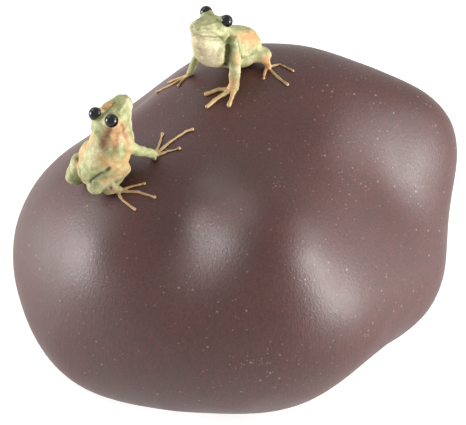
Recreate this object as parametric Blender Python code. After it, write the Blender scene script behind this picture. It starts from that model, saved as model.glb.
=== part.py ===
"""A tea pet of fired clay: a hollow boulder of purple clay with two small frogs sitting on it.

The boulder is a rounded stone, swollen and dented at named places, hollow inside, with a flat foot and
a vent hole under it. Each frog is one piece of green clay, laid on the boulder by its rump, hands and
feet, and has two round black eyes in sockets. Lengths are metres, +Z is up, and the flat foot lies on
the plane z = 0 with the middle of the stone on the Z axis.
"""

import math

import bmesh
import bpy
from mathutils import Matrix, Vector
from mathutils.bvhtree import BVHTree

MM = 0.001

# The boulder: half sizes of the plain stone before its swellings, and the height of its middle
STONE_HALF_LENGTH = 50 * MM
STONE_HALF_DEPTH = 51 * MM
STONE_HALF_HEIGHT = 41 * MM
STONE_MIDDLE_HEIGHT = 36 * MM
STONE_WALL = 5 * MM
FOOT_ROUNDING = 3 * MM
VENT_RADIUS = 4 * MM
VENT_CENTRE = Vector((-14 * MM, 6 * MM, 0))
VENT_CUTTER_LENGTH = 4 * STONE_WALL

# Swellings (+) and dents (-): heading from +X in degrees, elevation in degrees, rise as a share of the
# plain stone's radius there, and spread in degrees
SWELLINGS = {
    "left end": (182, -11, 0.104, 27),
    "left cheek": (218, -18, 0.091, 20),
    "front foot": (269, -45, -0.076, 28),
    "right of the foot": (302, -32, 0.035, 24),
    "undercut": (319, -28, -0.099, 19),
    "lower right corner": (353, -11, 0.12, 25),
    "right shoulder": (15, 23, 0.285, 19),
    "right back": (28, 49, 0.125, 25),
    "crown": (66, 56, 0.101, 34),
    "saddle": (141, 36, -0.15, 24),
    "left rise": (229, 25, 0.045, 21),
    "groove": (250, 38, -0.08, 14),
    "middle slope": (253, 56, -0.05, 18),
    "crest": (286, 42, 0.15, 17),
    "front ridge": (296, 14, 0.09, 24),
    "hollow": (312, 75, -0.05, 21),
    "bay": (353, 28, -0.102, 18),
    "low front": (255, -11, 0.02, 25),
    "lower left foot": (238, -33, 0.012, 22),
}

# What touches without being one piece keeps this gap
CLEARANCE = 0.3 * MM

# How finely balls, the stone's outside and its hollow are divided, as icosphere subdivisions, and how many
# sides round shapes have
BALL_FINENESS = 3
STONE_FINENESS = 5
HOLLOW_FINENESS = 4
RING_SIDES = 24
ROD_SIDES = 16

# How finely a frog's clay is merged into one skin, how that skin is softened, and the share of its faces
# that is kept
FROG_GRAIN = 0.22 * MM
SOFTENING = 0.5
SOFTENING_ROUNDS = 2
FROG_FACES_KEPT = 0.028

# Points on the stone are found by looking down from this height
LOOKOUT = 4 * STONE_HALF_HEIGHT

# One step of the frogs' tables: longer steps make larger frogs
FROG_STEP = 1 * MM

# What both frogs share, in steps: rings of the head as (forward, up, half width, half height), the nape
# that runs down into the trunk, the lids round the eyes, and the toes as their root, shaft and tip radii
HEAD_STATIONS = [
    (-3.4, -0.8, 2.9, 2.4),
    (-1.6, -0.4, 3.9, 3.3),
    (0.6, -0.2, 4.2, 3.4),
    (3.0, 0.0, 3.8, 2.8),
    (5.2, 0.2, 3.1, 2.2),
    (7.0, 0.4, 2.2, 1.5),
    (7.9, 0.5, 1.2, 0.8),
]
NAPE = (-1.2, 0, -0.6)
NAPE_RADIUS = 3.3
BROW_DEPTH = 0.9
BROW_RIM = 0.35
TOES = {
    "thin": (0.5, 0.36, 0.45),
    "broad": (0.75, 0.5, 0.4),
}
TOE_LIFT = 0.7

# The frogs, in steps. The place is where a frog sits, as shares of the stone's half length and half depth.
# Trunk, masses, legs and arms are (right, back, height above the stone, radius) from that place, the head
# has its middle and its turn as (heading from +X, pitch) in degrees, the chin is (forward, left, up,
# radius) on the head, and each toe is a run of (right, back) points on the stone.
FROGS = {
    "shoulder_frog": {
        "place": (-0.56, -0.34),
        "trunk": [(-2.5, 0.3, 5.4, 4.5), (0.0, -0.1, 8.0, 5.2), (1.5, 0.7, 11.4, 5.1)],
        "masses": [(-2.4, 2.0, 7.4, 4.3), (10.7, 3.7, 1.0, 1.0), (11.0, 2.7, 0.9, 0.6)],
        "head": (0.9, -0.1, 17.6),
        "head_turn": (56, 17),
        "chin": (4.4, 0, -1.4, 2.6),
        "eye_radius": 1.6,
        "eye_spread": 2.3,
        "eye_height": 2.9,
        "eye_set_back": 0.9,
        "limbs": {
            "right leg": [(-2.6, -3.0, 4.1, 2.2), (3.8, -1.3, 4.3, 1.8), (0.2, -3.8, 2.2, 1.2),
                          (2.6, -3.2, 0.8, 0.8)],
            "left leg": [(-6.6, 3.4, 7.2, 2.2), (-8.0, 3.0, 4.5, 2.3), (-6.6, 7.0, 3.2, 1.7),
                         (-7.2, 5.1, 2.2, 1.2), (-4.5, 7.5, 0.8, 0.8)],
            "right arm": [(4.0, -1.1, 11.0, 1.6), (7.6, 1.1, 5.6, 1.25), (10.6, 3.5, 1.4, 1.0)],
            "left arm": [(-1.0, 4.3, 10.6, 1.6), (-0.6, 7.9, 5.2, 1.3), (1.0, 10.3, 1.3, 1.0)],
        },
        "toes": [
            ("thin", [(10.8, 3.9), (11.8, 6.3), (12.7, 9.9)]),
            ("thin", [(10.8, 3.9), (14.4, 7.1), (18.3, 9.8), (19.8, 10.2)]),
            ("thin", [(10.8, 3.9), (13.8, 4.7), (16.7, 5.2)]),
            ("thin", [(1.0, 10.3), (1.2, 12.9), (2.8, 15.3)]),
            ("thin", [(1.0, 10.3), (2.4, 12.3), (4.4, 13.5)]),
            ("thin", [(1.0, 10.3), (0.0, 12.7), (-0.2, 14.9)]),
            ("thin", [(2.4, -3.3), (5.4, -2.9), (8.7, -2.7)]),
            ("thin", [(2.4, -3.3), (7.0, -4.3), (11.2, -5.9)]),
            ("thin", [(2.4, -3.3), (3.6, -5.6), (6.6, -8.2)]),
            ("thin", [(-4.5, 7.5), (-2.8, 10.3), (-2.2, 13.1)]),
            ("thin", [(-4.5, 7.5), (-4.2, 10.9), (-5.0, 13.7)]),
            ("thin", [(-4.5, 7.5), (-6.0, 9.7), (-8.2, 11.3)]),
        ],
    },
    "summit_frog": {
        "place": (0.0, 0.24),
        "trunk": [(3.3, 2.0, 5.2, 5.1), (0.4, -0.2, 7.2, 5.2), (-3.1, -2.6, 9.8, 5.4)],
        "masses": [(1.3, -7.9, 1.0, 1.15), (2.1, -8.3, 0.9, 0.7), (-9.2, 1.8, 0.9, 0.9)],
        "head": (-3.3, -3.0, 14.9),
        "head_turn": (232, 20),
        "chin": (4.0, 0, -2.0, 2.7),
        "eye_radius": 1.55,
        "eye_spread": 3.05,
        "eye_height": 2.95,
        "eye_set_back": 0.2,
        "limbs": {
            "left leg": [(5.0, 0.2, 4.6, 2.5), (8.8, 0.4, 3.1, 1.95), (9.4, 0.0, 1.4, 1.1),
                         (10.0, -1.2, 0.8, 0.7)],
            "right leg": [(1.4, 4.8, 4.8, 2.5), (-1.4, 7.4, 3.8, 2.0), (1.2, 8.2, 2.0, 1.2),
                          (-1.4, 8.6, 0.8, 0.8)],
            "left arm": [(1.4, -5.0, 11.4, 1.9), (1.9, -6.6, 7.1, 1.5), (1.7, -7.9, 1.5, 1.25)],
            "right arm": [(-5.4, 2.0, 9.0, 1.4), (-7.4, 1.8, 5.2, 1.05), (-8.9, 1.8, 1.4, 0.9)],
        },
        "toes": [
            ("broad", [(1.2, -7.9), (-2.0, -7.5), (-5.1, -8.6)]),
            ("broad", [(1.2, -8.0), (-2.3, -10.4), (-4.7, -12.8)]),
            ("broad", [(1.6, -8.2), (1.2, -10.2), (0.4, -12.7)]),
            ("thin", [(-9.2, 1.9), (-12.2, 3.0), (-14.5, 4.0)]),
            ("thin", [(-9.2, 1.9), (-13.0, 0.6), (-17.3, 1.3)]),
            ("thin", [(-9.2, 1.9), (-11.0, 0.0), (-11.8, -1.8)]),
            ("thin", [(9.7, -0.6), (9.2, -2.4), (8.9, -4.6)]),
            ("thin", [(9.7, -0.6), (12.6, -4.8), (14.5, -6.7)]),
            ("thin", [(9.7, -0.6), (12.8, 0.4), (15.9, -2.0)]),
            ("thin", [(-1.4, 8.6), (-4.0, 9.0), (-6.6, 10.2)]),
            ("thin", [(-1.4, 8.6), (-3.0, 10.8), (-4.2, 13.4)]),
            ("thin", [(-1.4, 8.6), (-0.8, 11.2), (0.2, 13.8)]),
        ],
    },
}


def direction(heading, elevation):
    """The unit vector at this heading from +X and this elevation, in degrees."""
    a = math.radians(heading)
    e = math.radians(elevation)
    return Vector((math.cos(a) * math.cos(e), math.sin(a) * math.cos(e), math.sin(e)))


def stone_reach(ray):
    """How far the stone's surface lies from its middle along a unit vector."""
    plain = Vector((ray.x / STONE_HALF_LENGTH, ray.y / STONE_HALF_DEPTH, ray.z / STONE_HALF_HEIGHT))
    swell = 1.0
    for heading, elevation, rise, spread in SWELLINGS.values():
        away = math.degrees(ray.angle(direction(heading, elevation)))
        swell += rise * math.exp(-((away / spread) ** 2))
    return swell / plain.length


def settle(height, floor):
    """A height flattened onto the floor, with a rounded edge between the side and the flat."""
    above = height - floor
    if above >= FOOT_ROUNDING:
        return height
    if above <= -FOOT_ROUNDING:
        return floor
    return floor + (above + FOOT_ROUNDING) ** 2 / (4 * FOOT_ROUNDING)


def stone_shell(subdivisions, inset):
    """A bmesh of the stone's surface moved in by the inset, with its flat foot that much higher."""
    bm = bmesh.new()
    bmesh.ops.create_icosphere(bm, subdivisions=subdivisions, radius=1)
    for vert in bm.verts:
        ray = vert.co.normalized()
        point = ray * (stone_reach(ray) - inset)
        point.z = settle(point.z + STONE_MIDDLE_HEIGHT, inset)
        vert.co = point
    return bm


def stone_tree():
    """The stone's outer surface as something that rays can be cast at."""
    bm = stone_shell(STONE_FINENESS, 0)
    tree = BVHTree.FromBMesh(bm)
    bm.free()
    return tree


def stone_under(tree, frog, right, back):
    """The point of the stone under a (right, back) point of a frog's table, and the normal there."""
    x = frog["place"][0] * STONE_HALF_LENGTH + right * FROG_STEP
    y = frog["place"][1] * STONE_HALF_DEPTH + back * FROG_STEP
    return tree.ray_cast(Vector((x, y, LOOKOUT)), Vector((0, 0, -1)))[:2]


def over(tree, frog, right, back, height):
    """The point this high above the stone at a (right, back) point of a frog's table, in metres."""
    top, _ = stone_under(tree, frog, right, back)
    return top + Vector((0, 0, height * FROG_STEP))


def track(tree, frog, points, height):
    """The (right, back) points of a toe as points this high off the stone, along the stone's normal."""
    run = []
    for right, back in points:
        top, normal = stone_under(tree, frog, right, back)
        run.append(top + normal * height)
    return run


def ball(bm, centre, radius):
    """A closed ball."""
    matrix = Matrix.Translation(centre)
    bmesh.ops.create_icosphere(bm, subdivisions=BALL_FINENESS, radius=radius, matrix=matrix)


def rod(bm, start, end, start_radius, end_radius):
    """A tapered limb between two points with round ends."""
    along = end - start
    turn = along.to_track_quat("Z", "Y").to_matrix().to_4x4()
    matrix = Matrix.Translation((start + end) / 2) @ turn
    bmesh.ops.create_cone(bm, cap_ends=True, segments=ROD_SIDES, radius1=start_radius,
                          radius2=end_radius, depth=along.length, matrix=matrix)
    ball(bm, start, start_radius)
    ball(bm, end, end_radius)


def limb(bm, points, radii):
    """A bent limb through the points, as thick as the radii at them in steps."""
    for i in range(len(points) - 1):
        rod(bm, points[i], points[i + 1], radii[i] * FROG_STEP, radii[i + 1] * FROG_STEP)


def loft(bm, turn, stations):
    """A closed body through rings square to the turned X axis: (centre, half width, half height)."""
    upright = Matrix(((0, 0, 1, 0), (1, 0, 0, 0), (0, 1, 0, 0), (0, 0, 0, 1)))
    rings = []
    for centre, half_width, half_height in stations:
        size = Matrix.Diagonal((half_width, half_height, 1, 1))
        matrix = Matrix.Translation(centre) @ turn @ upright @ size
        made = bmesh.ops.create_circle(bm, cap_ends=False, segments=RING_SIDES, radius=1, matrix=matrix)
        rings.append(made["verts"])
    for lower, upper in zip(rings, rings[1:]):
        pair = set(lower) | set(upper)
        edges = {edge for vert in pair for edge in vert.link_edges
                 if (edge.verts[0] in lower and edge.verts[1] in lower)
                 or (edge.verts[0] in upper and edge.verts[1] in upper)}
        bmesh.ops.bridge_loops(bm, edges=list(edges))
    bmesh.ops.contextual_create(bm, geom=rings[0])
    bmesh.ops.contextual_create(bm, geom=rings[-1])


def head_turn(frog):
    """The rotation that takes +X to where the head looks and +Z to its crown."""
    heading, pitch = frog["head_turn"]
    turn = Matrix.Rotation(math.radians(heading), 4, "Z")
    return turn @ Matrix.Rotation(-math.radians(pitch), 4, "Y")


def on_head(tree, frog, offset):
    """A (forward, left, up) point of the head, in steps from its middle, in metres."""
    middle = over(tree, frog, *frog["head"])
    return middle + head_turn(frog).to_3x3() @ (Vector(offset) * FROG_STEP)


def eye_centres(tree, frog):
    """The middles of the two eye beads, by side."""
    centres = {}
    for side, sign in (("left", 1), ("right", -1)):
        offset = (-frog["eye_set_back"], sign * frog["eye_spread"], frog["eye_height"])
        centres[side] = on_head(tree, frog, offset)
    return centres


def frog_shapes(tree, frog):
    """Trunk, head, brows, legs, arms and toes of a frog as closed shapes that run into each other."""
    bm = bmesh.new()
    for run in [frog["trunk"], *frog["limbs"].values()]:
        limb(bm, [over(tree, frog, *point[:3]) for point in run], [point[3] for point in run])
    for right, back, height, radius in frog["masses"]:
        ball(bm, over(tree, frog, right, back, height), radius * FROG_STEP)
    chest = over(tree, frog, *frog["trunk"][-1][:3])
    chest_radius = frog["trunk"][-1][3]
    *chin, chin_radius = frog["chin"]
    limb(bm, [on_head(tree, frog, chin), chest], [chin_radius, chest_radius])
    limb(bm, [on_head(tree, frog, NAPE), chest], [NAPE_RADIUS, chest_radius])
    stations = []
    for forward, up, half_width, half_height in HEAD_STATIONS:
        centre = on_head(tree, frog, (forward, 0, up))
        stations.append((centre, half_width * FROG_STEP, half_height * FROG_STEP))
    loft(bm, head_turn(frog), stations)
    head = over(tree, frog, *frog["head"])
    for eye in eye_centres(tree, frog).values():
        brow = eye + (head - eye).normalized() * BROW_DEPTH * FROG_STEP
        ball(bm, brow, (frog["eye_radius"] + BROW_RIM) * FROG_STEP)
    for shape, points in frog["toes"]:
        root, shaft, tip = TOES[shape]
        run = track(tree, frog, points, CLEARANCE + TOE_LIFT * shaft * FROG_STEP)
        limb(bm, run, [root] + [shaft] * (len(run) - 1))
        ball(bm, run[-1], tip * FROG_STEP)
    return bm


def make_object(name, bm, material):
    """A named object from a bmesh, smooth shaded, with one material."""
    mesh = bpy.data.meshes.new(name)
    bmesh.ops.recalc_face_normals(bm, faces=bm.faces)
    bm.to_mesh(mesh)
    bm.free()
    mesh.shade_smooth()
    if material:
        mesh.materials.append(material)
    obj = bpy.data.objects.new(name, mesh)
    bpy.context.scene.collection.objects.link(obj)
    return obj


def make_cutter(name, bm):
    """A shape that only cuts others."""
    cutter = make_object(name, bm, None)
    cutter.hide_render = True
    cutter.display_type = "WIRE"
    return cutter


def cut(obj, cutter):
    """Take the cutter's shape out of the object."""
    modifier = obj.modifiers.new("cut " + cutter.name, "BOOLEAN")
    modifier.operation = "DIFFERENCE"
    modifier.solver = "EXACT"
    modifier.object = cutter


def make_material(name, colour, roughness):
    """A plain fired clay or glaze: its colour in linear light and its roughness."""
    material = bpy.data.materials.new(name)
    material.use_nodes = True
    shader = material.node_tree.nodes["Principled BSDF"]
    shader.inputs["Base Color"].default_value = (*colour, 1)
    shader.inputs["Roughness"].default_value = roughness
    shader.inputs["Metallic"].default_value = 0
    return material


def make_stone(clay):
    """The hollow boulder with its vent."""
    stone = make_object("stone", stone_shell(STONE_FINENESS, 0), clay)
    cut(stone, make_cutter("stone_hollow", stone_shell(HOLLOW_FINENESS, STONE_WALL)))
    bm = bmesh.new()
    matrix = Matrix.Translation(VENT_CENTRE)
    bmesh.ops.create_cone(bm, cap_ends=True, segments=RING_SIDES, radius1=VENT_RADIUS,
                          radius2=VENT_RADIUS, depth=VENT_CUTTER_LENGTH, matrix=matrix)
    cut(stone, make_cutter("stone_vent", bm))
    return stone


def make_frog(name, tree, bed, clay, glaze):
    """One frog, merged into a single skin, flat where it lies on the stone, and its two eye beads."""
    frog = FROGS[name]
    body = make_object(name, frog_shapes(tree, frog), clay)
    merge = body.modifiers.new("merge", "REMESH")
    merge.mode = "VOXEL"
    merge.voxel_size = FROG_GRAIN
    soften = body.modifiers.new("soften", "SMOOTH")
    soften.factor = SOFTENING
    soften.iterations = SOFTENING_ROUNDS
    thin = body.modifiers.new("thin", "DECIMATE")
    thin.ratio = FROG_FACES_KEPT
    cut(body, bed)
    radius = frog["eye_radius"] * FROG_STEP
    for side, centre in eye_centres(tree, frog).items():
        socket = bmesh.new()
        ball(socket, centre, radius + CLEARANCE)
        cut(body, make_cutter(name + "_" + side + "_socket", socket))
        bead = bmesh.new()
        ball(bead, Vector(), radius)
        make_object(name + "_" + side + "_eye", bead, glaze).location = centre
    return body


def main():
    """Clear the scene and build the tea pet."""
    for obj in list(bpy.data.objects):
        bpy.data.objects.remove(obj)
    purple_clay = make_material("purple clay", (0.105, 0.062, 0.055), 0.45)
    green_clay = make_material("green clay", (0.43, 0.48, 0.27), 0.6)
    black_glaze = make_material("black glaze", (0.01, 0.01, 0.011), 0.08)
    make_stone(purple_clay)
    tree = stone_tree()
    bed = make_cutter("frog_bed", stone_shell(STONE_FINENESS, -CLEARANCE))
    for name in FROGS:
        make_frog(name, tree, bed, green_clay, black_glaze)


if __name__ == "__main__":
    main()
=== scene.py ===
"""The looks of a clay tea pet: a hollow purple clay boulder with two green clay frogs sitting on it.

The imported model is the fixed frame. The boulder is a finer stone with the same swellings, each frog is a
finely merged and carved skin seated on that stone, and the eyes are glazed beads. Lengths are metres.
"""

import math

import bmesh
import bpy
import numpy as np
from mathutils import Matrix, Vector, noise
from mathutils.bvhtree import BVHTree


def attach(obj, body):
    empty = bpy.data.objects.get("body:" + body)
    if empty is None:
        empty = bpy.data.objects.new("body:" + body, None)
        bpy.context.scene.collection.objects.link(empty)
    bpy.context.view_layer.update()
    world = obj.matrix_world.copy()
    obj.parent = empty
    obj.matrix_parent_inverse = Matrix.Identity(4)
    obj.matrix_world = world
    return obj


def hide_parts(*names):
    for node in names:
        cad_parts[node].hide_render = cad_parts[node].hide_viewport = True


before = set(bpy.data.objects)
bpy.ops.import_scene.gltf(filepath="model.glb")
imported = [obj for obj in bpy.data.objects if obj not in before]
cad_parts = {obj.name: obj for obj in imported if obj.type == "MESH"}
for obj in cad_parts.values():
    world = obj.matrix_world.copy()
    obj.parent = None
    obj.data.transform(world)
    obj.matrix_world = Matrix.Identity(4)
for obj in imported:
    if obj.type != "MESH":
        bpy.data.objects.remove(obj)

bl_info = {
    "name": "Clay Tea Pet",
    "version": (1, 0, 0),
    "blender": (4, 5, 0),
    "location": "3D View > Sidebar > Tea Pet",
    "description": "Dresses the clay boulder and its two frogs, and sets up their studio",
    "category": "Object",
}

MM = 0.001

# The body of the frame that every piece rides on
BODY = "root"

# The boulder's plain half sizes, the height of its middle, its wall, the rounding of its foot, and the vent
# hole that a hollow piece needs for the firing
STONE_HALF_SIZES = (50 * MM, 51 * MM, 41 * MM)
STONE_MIDDLE_HEIGHT = 36 * MM
STONE_WALL = 5 * MM
FOOT_ROUNDING = 3 * MM
VENT_RADIUS = 4 * MM
VENT_CENTRE = (-14 * MM, 6 * MM, 0)
VENT_LENGTH = 4 * STONE_WALL

# Swellings (+) and dents (-) of the boulder: heading from +X in degrees, elevation in degrees, rise as a
# share of the plain stone's radius there, and spread in degrees
SWELLINGS = {
    "left end": (182, -11, 0.104, 27),
    "left cheek": (218, -18, 0.091, 20),
    "front foot": (269, -45, -0.076, 28),
    "right of the foot": (302, -32, 0.035, 24),
    "undercut": (319, -28, -0.099, 19),
    "lower right corner": (353, -11, 0.12, 25),
    "right shoulder": (15, 23, 0.285, 19),
    "right back": (28, 49, 0.125, 25),
    "crown": (66, 56, 0.101, 34),
    "saddle": (141, 36, -0.15, 24),
    "left rise": (229, 25, 0.045, 21),
    "groove": (250, 38, -0.08, 14),
    "middle slope": (253, 56, -0.05, 18),
    "crest": (286, 42, 0.15, 17),
    "front ridge": (296, 14, 0.09, 24),
    "hollow": (312, 75, -0.05, 21),
    "bay": (353, 28, -0.102, 18),
    "low front": (255, -11, 0.02, 25),
    "lower left foot": (238, -33, 0.012, 22),
}

# One step of the frogs' tables, the height from which points on the stone are looked for, and how deep a
# frog is pressed into it
FROG_STEP = 1 * MM
LOOKOUT = 0.2
FROG_SINK = 0.1 * MM

# What both frogs share, in steps: rings of the head as (forward, up, half width, half height), the nape
# that runs down into the trunk, how far a brow lies behind its eye and stands out round it, the toes' root,
# shaft and tip radii, and how far off the stone a toe's middle runs as a share of its shaft's radius
HEAD_STATIONS = [
    (-3.4, -0.8, 2.9, 2.4),
    (-1.6, -0.4, 3.9, 3.3),
    (0.6, -0.2, 4.2, 3.4),
    (3.0, 0.0, 3.8, 2.8),
    (5.2, 0.2, 3.1, 2.2),
    (7.0, 0.4, 2.2, 1.5),
    (7.9, 0.5, 1.2, 0.8),
]
NAPE = (-1.2, 0, -0.6)
NAPE_RADIUS = 3.3
BROW_DEPTH = 1.0
BROW_RIM = 0.2
TOES = {
    "thin": (0.45, 0.29, 0.42),
    "broad": (0.75, 0.5, 0.32),
}
TOE_LIFT = 0.7

# The depth at which a crease holds the most painted shade, laid as a dark green wash, that most, and how
# far and how strongly the toes are washed tan
CREASE_DEPTH = 0.4 * MM
SHADE_IN_CREASES = 0.75
TAN_REACH = 2.1
TAN_ON_TOES = 0.85

# Marks that both sides of both heads carry, in steps from the head's middle: each is how far it stands up,
# its half width and a run of (forward, left, up) points
HEAD_CARVING = {
    "mouth": (-0.3, 0.3, [(8.0, 0.0, -0.4), (7.2, 1.4, -0.5), (5.2, 2.8, -0.6), (2.8, 3.8, -0.7),
                          (0.4, 4.4, -1.1)]),
    "nostril": (-0.35, 0.3, [(7.6, 0.8, 1.1)]),
    "ear": (-0.2, 0.75, [(-2.2, 3.9, -0.1)]),
    "ear ridge": (0.2, 0.45, [(-2.4, 3.4, 1.4), (-0.4, 4.2, 1.0)]),
    "snout ridge": (0.2, 0.4, [(2.0, 2.2, 2.5), (4.6, 1.7, 1.9), (6.8, 1.0, 1.6)]),
}

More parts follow.
